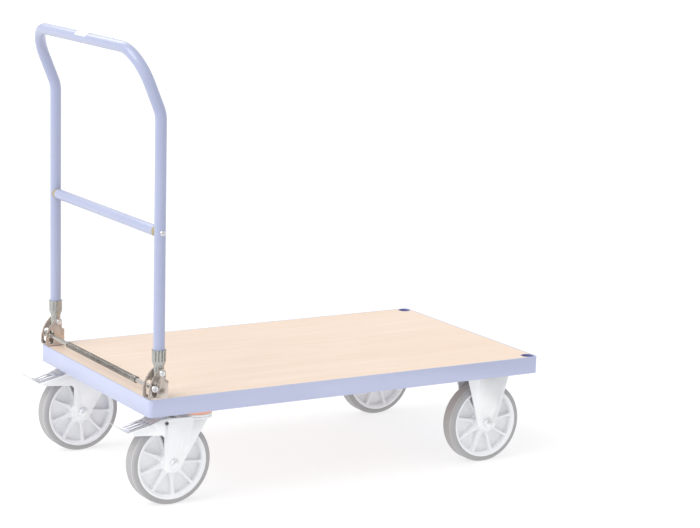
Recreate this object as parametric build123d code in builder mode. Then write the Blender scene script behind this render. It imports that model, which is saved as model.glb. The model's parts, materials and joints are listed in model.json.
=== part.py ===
"""Folding platform cart: timber deck in a steel edge frame, two braked swivel castors
under the handle end, two fixed castors under the front end, and a tubular push handle
that folds flat over the deck on two sheet-steel brackets with a sprung lock bar.

Everything is modelled standing on the floor (z = 0) with x along the deck, the handle
at -x.  save() writes each piece with the origin at the centre of the deck's top face.
"""

import os
from math import cos, radians, sin, tan

from build123d import *

os.makedirs("parts", exist_ok=True)

# ---- driving dimensions, mm -------------------------------------------------
LENGTH, WIDTH = 850.0, 500.0        # outside of the edge frame
DECK_HEIGHT = 210.0                 # deck top above the floor
RIM_HEIGHT = 33.0                   # upright leg of the edge frame
SHEET = 3.0                         # edge frame thickness
CORNER_RADIUS = 9.0
FLANGE_WIDTH = 22.0                 # inward leg that the board lies on
BOARD = 15.0
BEARER = 5.0                        # castor bearer plate thickness
BEARER_LENGTH = 120.0

WHEEL_RADIUS = 80.0
TYRE_WIDTH, TYRE_SHOULDER = 34.0, 7.0
RIM_RADIUS = 69.5                   # outer edge of the rim lip
RIB_COUNT = 9
CASTOR_Y = 206.0
SWIVEL_X, TRAIL = -310.0, 55.0      # king pin, and how far the wheel trails it
FIXED_X = 322.0
FORK_SHEET = 3.5
FORK_INSIDE = 43.0                  # between the cheeks
PLATE = (105.0, 80.0, 4.0)          # castor top plate
PLATE_HOLES = (80.0, 66.0)          # screw spacing
PLATE_HOLE_RADIUS = 4.5
CASTOR_SCREW_RADIUS, CASTOR_SCREW_FLATS = 4.0, 13.0
AXLE_RADIUS = 5.0
KING_PIN_RADIUS, KING_PIN_HEAD = 6.0, 10.0
RUNNING = 0.05                      # radial play of every turning fit

HINGE_X, HINGE_HEIGHT = -400.0, 48.0    # fold axis, height over the deck
POST_Y = 236.5
TUBE_RADIUS, TUBE_WALL = 10.65, 2.0
CRANK_HEIGHT, GRIP_HEIGHT = 727.0, 842.0
CRANK_ANGLE = 22.5
CRANK_BEND, GRIP_BEND = 60.0, 65.0    # centreline bend radii of the handle tube
CROSSBAR_HEIGHT, CROSSBAR_RADIUS = 514.0, 10.0
BRACKET_SHEET, BRACKET_GAP = 2.5, 22.0
PAD_LENGTH, PAD_WIDTH = 36.0, 25.0      # steel pad let into the deck under each bracket
HINGE_BOLT_RADIUS = 3.0
BRACKET_SCREW_RADIUS, BRACKET_SCREW_HOLE = 3.0, 3.2
LOCK_X, LOCK_DROP = -14.5, 27.3     # lock bar from the fold axis
LOCK_RADIUS = 4.25
SLOT_RADIUS = 5.4

# ---- derived heights --------------------------------------------------------
RIM_BOTTOM = DECK_HEIGHT - RIM_HEIGHT
BOARD_BOTTOM = DECK_HEIGHT - BOARD
FLANGE_BOTTOM = BOARD_BOTTOM - SHEET
BEARER_BOTTOM = FLANGE_BOTTOM - BEARER
PLATE_BOTTOM = BEARER_BOTTOM - PLATE[2]
CROWN_TOP, CROWN_RADIUS = 168.0, 31.0   # turned race on top of the swivel fork
RACE_BOTTOM = 174.5                 # pressed race under the swivel plate
HINGE_Z = DECK_HEIGHT + HINGE_HEIGHT
LOCK_Z = HINGE_Z - LOCK_DROP
CHEEK_IN = FORK_INSIDE / 2
CHEEK_OUT = CHEEK_IN + FORK_SHEET
INNER_LENGTH, INNER_WIDTH = LENGTH - 2 * SHEET, WIDTH - 2 * SHEET
SOCKET_RADIUS, SOCKET_BORE = 13.0, 11.0     # stake sockets in the front corners
SOCKET_X = INNER_LENGTH / 2 - SOCKET_RADIUS
SOCKET_Y = INNER_WIDTH / 2 - SOCKET_RADIUS
SIDES = {"near": -1, "far": 1}


def save(piece, name):
    """Write one piece with the origin moved to the centre of the deck's top face."""
    shape = piece.part.moved(Location((0, 0, -DECK_HEIGHT)))
    shape.label = name
    export_step(shape, f"parts/{name}.step")


def upright(y):
    """Sketch plane facing -y, so its x is the cart's x and its y is height."""
    return Plane(origin=(0, y, 0), x_dir=(1, 0, 0), z_dir=(0, -1, 0))


def axle_section(x, y):
    """Half-section plane of a wheel: its x runs along the axle, its y is the radius."""
    return Plane(origin=(x, y, WHEEL_RADIUS), x_dir=(0, 1, 0), z_dir=(1, 0, 0))


def axle_axis(x, y):
    return Axis((x, y, WHEEL_RADIUS), (0, 1, 0))


def cheek_plane(inner, face, sheet):
    """Plane whose -y extrusion by sheet fills a cheek outward from its inner face."""
    return upright(inner + (sheet if face > 0 else 0))


def plate_holes(x, z, depth):
    """Cut the screw holes of both castors that sit at one end of the cart."""
    for side in SIDES.values():
        with Locations((x, side * CASTOR_Y, z)):
            with GridLocations(*PLATE_HOLES, 2, 2):
                Cylinder(CASTOR_SCREW_RADIUS + 0.3, depth, mode=Mode.SUBTRACT)


def bracket_screw_places(z):
    return [(HINGE_X + dx, side * POST_Y, z) for side in SIDES.values() for dx in (-12.0, 3.0)]


# ---- edge frame, deck and bearers -------------------------------------------
def frame_rail(name, outline):
    """One mitred side of the edge frame: upright leg with an inward flange."""
    with BuildPart() as rail:
        with BuildSketch(Plane.XY.offset(RIM_BOTTOM)):
            RectangleRounded(LENGTH, WIDTH, CORNER_RADIUS)
            RectangleRounded(INNER_LENGTH, INNER_WIDTH, CORNER_RADIUS - SHEET, mode=Mode.SUBTRACT)
        extrude(amount=RIM_HEIGHT)
        with BuildSketch(Plane.XY.offset(FLANGE_BOTTOM)):
            RectangleRounded(INNER_LENGTH + SHEET, INNER_WIDTH + SHEET, CORNER_RADIUS - SHEET)
            Rectangle(
                INNER_LENGTH - 2 * FLANGE_WIDTH, INNER_WIDTH - 2 * FLANGE_WIDTH, mode=Mode.SUBTRACT
            )
        extrude(amount=SHEET)
        with Locations(*[(SOCKET_X, side * SOCKET_Y, FLANGE_BOTTOM) for side in SIDES.values()]):
            Cylinder(SOCKET_RADIUS, 3 * SHEET, mode=Mode.SUBTRACT)
        with Locations(*bracket_screw_places(BOARD_BOTTOM)):
            Cylinder(BRACKET_SCREW_HOLE, 4 * SHEET, mode=Mode.SUBTRACT)
        for x in (SWIVEL_X, FIXED_X):
            plate_holes(x, BOARD_BOTTOM, 4 * SHEET)
        with BuildSketch(Plane.XY.offset(RIM_BOTTOM)):
            Polygon(*outline, align=None)
        extrude(amount=RIM_HEIGHT, mode=Mode.INTERSECT)
    save(rail, name)


HALF_L, HALF_W, MITRE = LENGTH / 2, WIDTH / 2, 40.0
for side_name, side in SIDES.items():
    frame_rail(
        f"side_rail_{side_name}",
        [
            (-HALF_L, side * HALF_W),
            (HALF_L, side * HALF_W),
            (HALF_L - MITRE, side * (HALF_W - MITRE)),
            (-HALF_L + MITRE, side * (HALF_W - MITRE)),
        ],
    )
for end_name, end in {"handle": -1, "front": 1}.items():
    frame_rail(
        f"end_rail_{end_name}",
        [
            (end * HALF_L, -HALF_W),
            (end * HALF_L, HALF_W),
            (end * (HALF_L - MITRE), HALF_W - MITRE),
            (end * (HALF_L - MITRE), -HALF_W + MITRE),
        ],
    )

with BuildPart() as deck_board:
    with BuildSketch(Plane.XY.offset(BOARD_BOTTOM)):
        RectangleRounded(INNER_LENGTH, INNER_WIDTH, CORNER_RADIUS - SHEET)
        with Locations(*[(SOCKET_X, side * SOCKET_Y) for side in SIDES.values()]):
            Circle(SOCKET_RADIUS + 0.3, mode=Mode.SUBTRACT)
        for side in SIDES.values():
            with Locations((INNER_LENGTH / 2, side * INNER_WIDTH / 2)):
                Rectangle(2 * SOCKET_RADIUS, 2 * SOCKET_RADIUS, mode=Mode.SUBTRACT)
            with Locations((-INNER_LENGTH / 2, side * INNER_WIDTH / 2)):
                Rectangle(2 * PAD_LENGTH + 1, 2 * PAD_WIDTH + 1, mode=Mode.SUBTRACT)
    extrude(amount=BOARD)
save(deck_board, "deck_board")

with BuildPart() as bracket_pads:
    for side in SIDES.values():
        corner = (-INNER_LENGTH / 2 + PAD_LENGTH / 2, side * (INNER_WIDTH - PAD_WIDTH) / 2)
        with BuildSketch(Plane.XY.offset(BOARD_BOTTOM)):
            with Locations(corner):
                Rectangle(PAD_LENGTH, PAD_WIDTH)
        extrude(amount=BOARD)
    end_corners = bracket_pads.edges().filter_by(Axis.Z).group_by(Axis.X)[0].sort_by(Axis.Y)
    fillet([end_corners[0], end_corners[-1]], CORNER_RADIUS - SHEET)
    with Locations(*bracket_screw_places(DECK_HEIGHT)):
        Cylinder(BRACKET_SCREW_HOLE, 2 * BOARD, mode=Mode.SUBTRACT)
save(bracket_pads, "bracket_pads")

for side_name, side in SIDES.items():
    with BuildPart() as corner_socket:
        with BuildSketch(Plane.XY.offset(RIM_BOTTOM)):
            with Locations((SOCKET_X, side * SOCKET_Y)):
                Circle(SOCKET_RADIUS)
                Circle(SOCKET_BORE, mode=Mode.SUBTRACT)
        extrude(amount=RIM_HEIGHT)
    save(corner_socket, f"corner_socket_{side_name}")

for end_name, x in {"handle": SWIVEL_X, "front": FIXED_X}.items():
    with BuildPart() as bearer:
        with BuildSketch(Plane.XY.offset(BEARER_BOTTOM)):
            with Locations((x, 0)):
                Rectangle(BEARER_LENGTH, INNER_WIDTH)
        extrude(amount=BEARER)
        plate_holes(x, BEARER_BOTTOM, 4 * BEARER)
    save(bearer, f"castor_bearer_{end_name}")

MIDDLE_BEARER_X = (SWIVEL_X + FIXED_X) / 2
with BuildPart() as middle_bearer:
    with BuildSketch(Plane.XY.offset(BEARER_BOTTOM)):
        with Locations((MIDDLE_BEARER_X, 0)):
            Rectangle(BEARER_LENGTH / 3, INNER_WIDTH)
    extrude(amount=BEARER)
save(middle_bearer, "middle_bearer")


# ---- wheels -----------------------------------------------------------------
HUB_RADIUS, HUB_LENGTH = 20.0, 40.0
BEARING_RADIUS, SLEEVE_RADIUS = 13.0, 8.0
RIM_SEAT = RIM_RADIUS - 2.0
RIM_INSIDE, LIP = 62.0, 3.5


def tyre(name, x, y):
    half, shoulder = TYRE_WIDTH / 2, TYRE_SHOULDER
    with BuildPart() as rubber:
        with BuildSketch(axle_section(x, y)):
            with BuildLine():
                Polyline(
                    (-half, WHEEL_RADIUS - shoulder),
                    (-half, RIM_RADIUS),
                    (-half + 3, RIM_SEAT),
                    (half - 3, RIM_SEAT),
                    (half, RIM_RADIUS),
                    (half, WHEEL_RADIUS - shoulder),
                )
                RadiusArc(
                    (half, WHEEL_RADIUS - shoulder), (half - shoulder, WHEEL_RADIUS), -shoulder
                )
                Line((half - shoulder, WHEEL_RADIUS), (-half + shoulder, WHEEL_RADIUS))
                RadiusArc(
                    (-half + shoulder, WHEEL_RADIUS), (-half, WHEEL_RADIUS - shoulder), -shoulder
                )
            make_face()
        revolve(axis=axle_axis(x, y))
    save(rubber, name)


def rim(name, x, y, first_rib):
    """Moulded rim: barrel, web, hub and tapered ribs on both faces of the web."""
    half = TYRE_WIDTH / 2
    with BuildPart() as wheel:
        with BuildSketch(axle_section(x, y)):
            Polygon(
                (-half, RIM_RADIUS),
                (-half + 3, RIM_SEAT),
                (half - 3, RIM_SEAT),
                (half, RIM_RADIUS),
                (half, RIM_RADIUS - LIP),
                (half - 4, RIM_INSIDE),
                (-half + 4, RIM_INSIDE),
                (-half, RIM_RADIUS - LIP),
                align=None,
            )
        revolve(axis=axle_axis(x, y))
        with BuildSketch(axle_section(x, y)):
            with BuildLine():
                Polyline(
                    (-HUB_LENGTH / 2, BEARING_RADIUS),
                    (HUB_LENGTH / 2, BEARING_RADIUS),
                    (HUB_LENGTH / 2, HUB_RADIUS - 1.5),
                    (HUB_LENGTH / 2 - 1.5, HUB_RADIUS),
                    (6, HUB_RADIUS + 2),
                    (2.5, HUB_RADIUS + 5),
                    (2.5, RIM_INSIDE + 1),
                    (-2.5, RIM_INSIDE + 1),
                    (-2.5, HUB_RADIUS + 5),
                    (-6, HUB_RADIUS + 2),
                    (-HUB_LENGTH / 2 + 1.5, HUB_RADIUS),
                    (-HUB_LENGTH / 2, HUB_RADIUS - 1.5),
                    close=True,
                )
            make_face()
        revolve(axis=axle_axis(x, y))
        rib_half = half - 4
        with BuildSketch(upright(y + rib_half)):
            with Locations((x, WHEEL_RADIUS)):
                with PolarLocations(0, RIB_COUNT, start_angle=first_rib):
                    Polygon(
                        (HUB_RADIUS - 2, 7.0),
                        (HUB_RADIUS + 8, 3.4),
                        (HUB_RADIUS + 20, 2.1),
                        (RIM_INSIDE - 7, 1.9),
                        (RIM_INSIDE + 1, 3.6),
                        (RIM_INSIDE + 1, -3.6),
                        (RIM_INSIDE - 7, -1.9),
                        (HUB_RADIUS + 20, -2.1),
                        (HUB_RADIUS + 8, -3.4),
                        (HUB_RADIUS - 2, -7.0),
                        align=None,
                    )
        extrude(amount=2 * rib_half)
    save(wheel, name)


def roller_bearing(name, x, y):
    with BuildPart() as bearing:
        with BuildSketch(axle_section(x, y)):
            with Locations((0, (BEARING_RADIUS + SLEEVE_RADIUS + RUNNING) / 2)):
                Rectangle(HUB_LENGTH, BEARING_RADIUS - SLEEVE_RADIUS - RUNNING)
        revolve(axis=axle_axis(x, y))
    save(bearing, name)


def hexagon_prism(plane, across_flats, height):
    with BuildSketch(plane) as outline:
        RegularPolygon(across_flats / 2, 6, major_radius=False)
    extrude(outline.sketch, amount=height)


AXLE_FLATS, BOLT_HEAD, NUT_HEIGHT = 15.0, 5.0, 7.0
WASHER_RADIUS, WASHER = 10.0, 1.5


def axle_set(name, places):
    """Axle bolt, washer, spacer sleeve between the cheeks, and nut, for each place."""
    with BuildPart() as axle:
        for x, y in places:
            near = Plane((x, y - CHEEK_OUT, WHEEL_RADIUS), x_dir=(1, 0, 0), z_dir=(0, -1, 0))
            far = Plane((x, y + CHEEK_OUT, WHEEL_RADIUS), x_dir=(1, 0, 0), z_dir=(0, 1, 0))
            with BuildSketch(near):
                Circle(WASHER_RADIUS)
            extrude(amount=WASHER)
            hexagon_prism(near.offset(WASHER), AXLE_FLATS, BOLT_HEAD)
            with BuildSketch(near):
                Circle(AXLE_RADIUS)
            extrude(amount=-(2 * CHEEK_OUT + NUT_HEIGHT + 3))
            with BuildSketch(axle_section(x, y)):
                with Locations((0, (SLEEVE_RADIUS + AXLE_RADIUS + 0.1) / 2)):
                    Rectangle(FORK_INSIDE, SLEEVE_RADIUS - AXLE_RADIUS - 0.1)
            revolve(axis=axle_axis(x, y))
            hexagon_prism(far, AXLE_FLATS, NUT_HEIGHT)
    save(axle, name)


# ---- fixed castors ----------------------------------------------------------
def fixed_fork(name, y):
    """Pressed fork with its top plate: two tapered cheeks with a raised panel each."""
    with BuildPart() as fork:
        for face in (-1, 1):
            with BuildSketch(cheek_plane(y + face * CHEEK_IN, face, FORK_SHEET)):
                with BuildLine():
                    Polyline(
                        (FIXED_X - 21, WHEEL_RADIUS - 3),
                        (FIXED_X - 46, WHEEL_RADIUS + 90),
                        (FIXED_X - 48, PLATE_BOTTOM),
                        (FIXED_X + 48, PLATE_BOTTOM),
                        (FIXED_X + 46, WHEEL_RADIUS + 90),
                        (FIXED_X + 21, WHEEL_RADIUS - 3),
                    )
                    ThreePointArc(
                        (FIXED_X + 21, WHEEL_RADIUS - 3),
                        (FIXED_X, WHEEL_RADIUS - 15.5),
                        (FIXED_X - 21, WHEEL_RADIUS - 3),
                    )
                make_face()
                with Locations((FIXED_X, WHEEL_RADIUS)):
                    Circle(AXLE_RADIUS + 0.1, mode=Mode.SUBTRACT)
            extrude(amount=FORK_SHEET)
            panel_plane = Plane(
                (0, y + face * CHEEK_OUT, 0), x_dir=(1, 0, 0), z_dir=(0, face, 0)
            )
            with BuildSketch(panel_plane) as panel:
                top, low = PLATE_BOTTOM - 6, WHEEL_RADIUS + 26
                Polygon(
                    (FIXED_X - 25, -face * top),
                    (FIXED_X + 25, -face * top),
                    (FIXED_X + 22, -face * low),
                    (FIXED_X - 22, -face * low),
                    align=None,
                )
                fillet(panel.vertices(), 7)
            extrude(amount=0.9, taper=60)
        with BuildSketch(Plane.XY.offset(PLATE_BOTTOM - FORK_SHEET)):
            with Locations((FIXED_X, y)):
                Rectangle(96, 2 * CHEEK_OUT)
        extrude(amount=FORK_SHEET)
        with BuildSketch(Plane.XY.offset(PLATE_BOTTOM)):
            with Locations((FIXED_X, y)):
                RectangleRounded(PLATE[0], PLATE[1], 8)
        extrude(amount=PLATE[2])
        with Locations((FIXED_X, y, PLATE_BOTTOM)):
            with GridLocations(*PLATE_HOLES, 2, 2):
                Cylinder(PLATE_HOLE_RADIUS, 4 * PLATE[2], mode=Mode.SUBTRACT)
    save(fork, name)


# ---- swivel castors ---------------------------------------------------------
AXLE_X = SWIVEL_X - TRAIL
PEDAL_PIVOT = (AXLE_X - 15.2, 158.0)
ARM_TIP = AXLE_X - 89.0
RACE_LIP = 3.6                      # upper lip of the turned race


def swivel_plate(name, y):
    with BuildPart() as plate:
        with BuildSketch(Plane.XY.offset(PLATE_BOTTOM)):
            with Locations((SWIVEL_X, y)):
                RectangleRounded(PLATE[0], PLATE[1], 8)
        extrude(amount=PLATE[2])
        with BuildSketch(Plane.XY.offset(RACE_BOTTOM)):
            with Locations((SWIVEL_X, y)):
                Circle(CROWN_RADIUS - 1)
        extrude(amount=PLATE_BOTTOM - RACE_BOTTOM)
        with Locations((SWIVEL_X, y, PLATE_BOTTOM)):
            Cylinder(KING_PIN_RADIUS + 0.1, 40, mode=Mode.SUBTRACT)
            with GridLocations(*PLATE_HOLES, 2, 2):
                Cylinder(PLATE_HOLE_RADIUS, 4 * PLATE[2], mode=Mode.SUBTRACT)
        with Locations((SWIVEL_X, y, PLATE_BOTTOM + PLATE[2] / 2)):
            Cylinder(KING_PIN_HEAD + 0.5, PLATE[2], mode=Mode.SUBTRACT)
    save(plate, name)


def swivel_fork(name, y):
    """Fork with trailing cheeks, an arm that carries the brake pedal, and a round crown."""
    with BuildPart() as fork:
        for face in (-1, 1):
            with BuildSketch(cheek_plane(y + face * CHEEK_IN, face, FORK_SHEET)):
                with BuildLine():
                    FilletPolyline(
                        (AXLE_X - 18.5, 65.5),
                        (AXLE_X - 18.5, 131),
                        (AXLE_X - 24, 136.5),
                        (AXLE_X - 80, 141),
                        (ARM_TIP, 146.5),
                        (AXLE_X - 44, 158.5),
                        (AXLE_X - 28, 165.5),
                        (AXLE_X - 13, CROWN_TOP - 1),
                        (AXLE_X + 71, CROWN_TOP - 5),
                        (AXLE_X + 9.5, 65.5),
                        radius=(6.5, 5, 4, 3, 2, 2, 2, 2, 3, 6.5),
                        close=True,
                    )
                make_face()
                with Locations((AXLE_X, WHEEL_RADIUS)):
                    Circle(AXLE_RADIUS + 0.1, mode=Mode.SUBTRACT)
                with Locations(PEDAL_PIVOT):
                    Circle(3.1, mode=Mode.SUBTRACT)
            extrude(amount=FORK_SHEET)
        with BuildSketch(Plane.XY.offset(CROWN_TOP - 5 - FORK_SHEET)):
            with Locations((SWIVEL_X - TRAIL / 2 + 8, y)):
                Rectangle(TRAIL - 10, 2 * CHEEK_OUT)
            with Locations((SWIVEL_X, y)):
                Circle(KING_PIN_HEAD + 2, mode=Mode.SUBTRACT)
        extrude(amount=FORK_SHEET)
        with BuildSketch(Plane((SWIVEL_X, y, 0), x_dir=(1, 0, 0), z_dir=(0, -1, 0))):
            Polygon(
                (KING_PIN_RADIUS + RUNNING, CROWN_TOP),
                (CROWN_RADIUS, CROWN_TOP),
                (CROWN_RADIUS, CROWN_TOP - RACE_LIP),
                (CROWN_RADIUS - 1.5, CROWN_TOP - RACE_LIP),
                (CROWN_RADIUS - 1.5, CROWN_TOP - RACE_LIP - 1),
                (CROWN_RADIUS, CROWN_TOP - RACE_LIP - 1),
                (CROWN_RADIUS, CROWN_TOP - 8.5),
                (CROWN_RADIUS - FORK_SHEET, CROWN_TOP - 8.5),
                (CROWN_RADIUS - FORK_SHEET, CROWN_TOP - FORK_SHEET),
                (KING_PIN_RADIUS + RUNNING, CROWN_TOP - FORK_SHEET),
                align=None,
            )
        revolve(axis=Axis((SWIVEL_X, y, 0), (0, 0, 1)))
    save(fork, name)


def dust_ring(name, y):
    with BuildPart() as ring:
        with BuildSketch(Plane.XY.offset(CROWN_TOP + 0.3)):
            with Locations((SWIVEL_X, y)):
                Circle(CROWN_RADIUS - 0.5)
                Circle(CROWN_RADIUS - 5, mode=Mode.SUBTRACT)
        extrude(amount=RACE_BOTTOM - CROWN_TOP - 0.3)
    save(ring, name)


PEDAL_SHEET, PEDAL_HALF = 2.0, 20.5
PEDAL_SKIN = [(-91, 148.0), (-44, 159.4), (-28, 164.5), (-6, 167.2)]    # from the axle, and height
TREAD, TREAD_ANGLE = 22.0, 33.0         # foot plate, turned up at the end of the lever


def pedal_top(dx):
    """Height of the pedal's top skin at dx from the axle."""
    for (x0, z0), (x1, z1) in zip(PEDAL_SKIN, PEDAL_SKIN[1:]):
        if dx <= x1:
            return z0 + (z1 - z0) * (dx - x0) / (x1 - x0)
    return PEDAL_SKIN[-1][1]


def brake_pedal(name, y):
    """Channel-shaped lever between the arms of the fork, with a raised foot plate."""
    skin = [(AXLE_X + dx, height) for dx, height in PEDAL_SKIN]
    under = [(px, pz - PEDAL_SHEET) for px, pz in reversed(skin)]
    flange = [(px, pz - 8) for px, pz in reversed(skin[1:])]
    with BuildPart() as lever:
        with BuildSketch(upright(y + PEDAL_HALF)):
            Polygon(*skin, *under, align=None)
        extrude(amount=2 * PEDAL_HALF)
        for face in (-1, 1):
            edge = y + face * PEDAL_HALF
            with BuildSketch(upright(edge if face > 0 else edge + PEDAL_SHEET)):
                Polygon(*skin[1:], *flange, align=None)
                with Locations(PEDAL_PIVOT):
                    Circle(6)
                    Circle(3 + RUNNING, mode=Mode.SUBTRACT)
            extrude(amount=PEDAL_SHEET)
        slope = Plane(
            origin=(AXLE_X - 70, y, pedal_top(-70)),
            x_dir=(47, 0, 11.4),
            z_dir=(-11.4, 0, 47),
        )
        with BuildSketch(slope.offset(-3 * PEDAL_SHEET)):
            with Locations((0, -12), (0, 0), (0, 12)):
                SlotOverall(30, 4.5)
            with Locations((22, -12), (22, 0), (22, 12)):
                Circle(2.25)
        extrude(amount=6 * PEDAL_SHEET, mode=Mode.SUBTRACT)
        tip_x, tip_z = skin[0]
        tread_x = tip_x - TREAD * cos(radians(TREAD_ANGLE))
        tread_z = tip_z + TREAD * sin(radians(TREAD_ANGLE))
        with BuildSketch(upright(y + PEDAL_HALF)):
            Polygon(
                (tip_x, tip_z),
                (tread_x, tread_z),
                (tread_x, tread_z - PEDAL_SHEET),
                (tip_x, tip_z - PEDAL_SHEET),
                align=None,
            )
        extrude(amount=2 * PEDAL_HALF)
    save(lever, name)


def brake_shoe(name, y):
    """Rubber block under the pedal, hollowed to the tyre's curve."""
    left, right = -60, -45
    with BuildPart() as shoe:
        with BuildSketch(upright(y + 14)):
            Polygon(
                (AXLE_X + left, pedal_top(left) - PEDAL_SHEET),
                (AXLE_X + right, pedal_top(right) - PEDAL_SHEET),
                (AXLE_X + right, 130),
                (AXLE_X + left, 130),
                align=None,
            )
            with Locations((AXLE_X, WHEEL_RADIUS)):
                Circle(WHEEL_RADIUS + 7.3, mode=Mode.SUBTRACT)
        extrude(amount=28)
    save(shoe, name)


def pivot_studs(name, y):
    """Tubular rivets that the pedal turns on, one through each cheek."""
    with BuildPart() as studs:
        for face in (-1, 1):
            outer = Plane(
                (PEDAL_PIVOT[0], y + face * CHEEK_OUT, PEDAL_PIVOT[1]),
                x_dir=(1, 0, 0),
                z_dir=(0, face, 0),
            )
            with BuildSketch(outer):
                Circle(3.7)
            extrude(amount=1)
            with BuildSketch(outer):
                Circle(3)
            extrude(amount=-(CHEEK_OUT - PEDAL_HALF + PEDAL_SHEET))
            with BuildSketch(outer.offset(1)):
                Circle(2.2)
            extrude(amount=-7, mode=Mode.SUBTRACT)
    save(studs, name)


NUT_TOP = CROWN_TOP - FORK_SHEET - 0.5
PIN_BOTTOM = NUT_TOP - 12
with BuildPart() as king_pins:
    for side in SIDES.values():
        y = side * CASTOR_Y
        with BuildSketch(Plane.XY.offset(PIN_BOTTOM + 2)):
            with Locations((SWIVEL_X, y)):
                RegularPolygon(9, 6, major_radius=False)
        extrude(amount=NUT_TOP - PIN_BOTTOM - 2)
        with BuildSketch(Plane.XY.offset(PIN_BOTTOM)):
            with Locations((SWIVEL_X, y)):
                Circle(KING_PIN_RADIUS)
        extrude(amount=PLATE_BOTTOM + PLATE[2] - 1 - PIN_BOTTOM)
        with BuildSketch(Plane.XY.offset(PLATE_BOTTOM + 0.1)):
            with Locations((SWIVEL_X, y)):
                Circle(KING_PIN_HEAD)
        extrude(amount=PLATE[2] - 0.3)
save(king_pins, "king_pins")

BALL_RADIUS, BALL_RING, BALL_COUNT = 3.1, 20.0, 14
with BuildPart() as swivel_balls:
    for side in SIDES.values():
        with Locations((SWIVEL_X, side * CASTOR_Y, (CROWN_TOP + RACE_BOTTOM) / 2)):
            with PolarLocations(BALL_RING, BALL_COUNT):
                Sphere(BALL_RADIUS)
save(swivel_balls, "swivel_balls")

CASTOR_SCREW_HEAD = 5.3
with BuildPart() as castor_screws:
    for x in (SWIVEL_X, FIXED_X):
        for side in SIDES.values():
            with BuildSketch(Plane.XY.offset(PLATE_BOTTOM - CASTOR_SCREW_HEAD)):
                with Locations((x, side * CASTOR_Y)):
                    with GridLocations(*PLATE_HOLES, 2, 2):
                        RegularPolygon(CASTOR_SCREW_FLATS / 2, 6, major_radius=False)
            extrude(amount=CASTOR_SCREW_HEAD)
            with BuildSketch(Plane.XY.offset(PLATE_BOTTOM)):
                with Locations((x, side * CASTOR_Y)):
                    with GridLocations(*PLATE_HOLES, 2, 2):
                        Circle(CASTOR_SCREW_RADIUS)
            extrude(amount=PLATE[2] + BEARER + 2)
save(castor_screws, "castor_screws")

axle_set("fixed_axles", [(FIXED_X, side * CASTOR_Y) for side in SIDES.values()])
for side_name, side in SIDES.items():
    y = side * CASTOR_Y
    fixed_fork(f"fixed_fork_{side_name}", y)
    swivel_plate(f"swivel_plate_{side_name}", y)
    swivel_fork(f"swivel_fork_{side_name}", y)
    dust_ring(f"dust_ring_{side_name}", y)
    brake_pedal(f"brake_pedal_{side_name}", y)
    brake_shoe(f"brake_shoe_{side_name}", y)
    pivot_studs(f"pedal_studs_{side_name}", y)
    axle_set(f"swivel_axle_{side_name}", [(AXLE_X, y)])
    for end_name, x, first_rib in (("swivel", AXLE_X, -5), ("fixed", FIXED_X, 8)):
        tyre(f"{end_name}_tyre_{side_name}", x, y)
        rim(f"{end_name}_rim_{side_name}", x, y, first_rib)
        roller_bearing(f"{end_name}_bearing_{side_name}", x, y)


# ---- fold brackets and lock bar ---------------------------------------------
def fold_bracket(name, y):
    """Sheet bracket: base, two cheeks and a low web on the deck side."""
    half = BRACKET_GAP / 2
    with BuildPart() as bracket:
        for face in (-1, 1):
            plane = cheek_plane(y + face * half, face, BRACKET_SHEET)
            local = Plane(
                (HINGE_X, plane.origin.Y, DECK_HEIGHT), x_dir=plane.x_dir, z_dir=plane.z_dir
            )
            with BuildSketch(local):
                with BuildLine():
                    Polyline(
                        (-26, 14), (-26, 4), (-22, 0), (13, 0), (13, 33), (7.5, 36), (8, 48)
                    )
                    ThreePointArc((8, 48), (3.5, 55.2), (-5, 54.5))
                    ThreePointArc((-5, 54.5), (-19, 38), (-26, 14))
                make_face()
                with Locations((0, HINGE_HEIGHT)):
                    Circle(HINGE_BOLT_RADIUS + 0.1, mode=Mode.SUBTRACT)
                with Locations((LOCK_X, 18.5)):
                    SlotCenterToCenter(17, 2 * SLOT_RADIUS, rotation=90, mode=Mode.SUBTRACT)
            extrude(amount=BRACKET_SHEET)
        with BuildSketch(Plane.XY.offset(DECK_HEIGHT)):
            with Locations((HINGE_X - 4.5, y)):
                Rectangle(35, BRACKET_GAP + BRACKET_SHEET)
        extrude(amount=BRACKET_SHEET)
        with BuildSketch(Plane.XY.offset(DECK_HEIGHT)):
            with Locations((HINGE_X + 13 - BRACKET_SHEET / 2, y)):
                Rectangle(BRACKET_SHEET, BRACKET_GAP + BRACKET_SHEET)
        extrude(amount=33)
        with Locations(*bracket_screw_places(DECK_HEIGHT)):
            Cylinder(BRACKET_SCREW_HOLE, 4 * BRACKET_SHEET, mode=Mode.SUBTRACT)
    save(bracket, name)


def dome_head(plane, radius, height):
    """Shallow round screw head with a cross recess."""
    with BuildSketch(plane) as rim_outline:
        Circle(radius)
    extrude(rim_outline.sketch, amount=height / 2)
    with BuildSketch(plane.offset(height / 2)) as crown_outline:
        Circle(radius)
    extrude(crown_outline.sketch, amount=height / 2, taper=35)
    with BuildSketch(plane.offset(height)) as recess:
        Rectangle(radius, 1.2)
        Rectangle(1.2, radius)
    extrude(recess.sketch, amount=-1.2, mode=Mode.SUBTRACT)


SMALL_NUT_FLATS, SMALL_NUT = 10.0, 5.0
with BuildPart() as bracket_screws:
    for place in bracket_screw_places(DECK_HEIGHT + BRACKET_SHEET):
        top = Plane(place)
        with BuildSketch(top):
            Circle(BRACKET_SCREW_RADIUS)
        extrude(amount=-(BRACKET_SHEET + DECK_HEIGHT - FLANGE_BOTTOM + SMALL_NUT + 2))
        dome_head(top, 5, 2.8)
        hexagon_prism(Plane((place[0], place[1], FLANGE_BOTTOM - SMALL_NUT)), SMALL_NUT_FLATS, SMALL_NUT)
save(bracket_screws, "bracket_screws")

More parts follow.
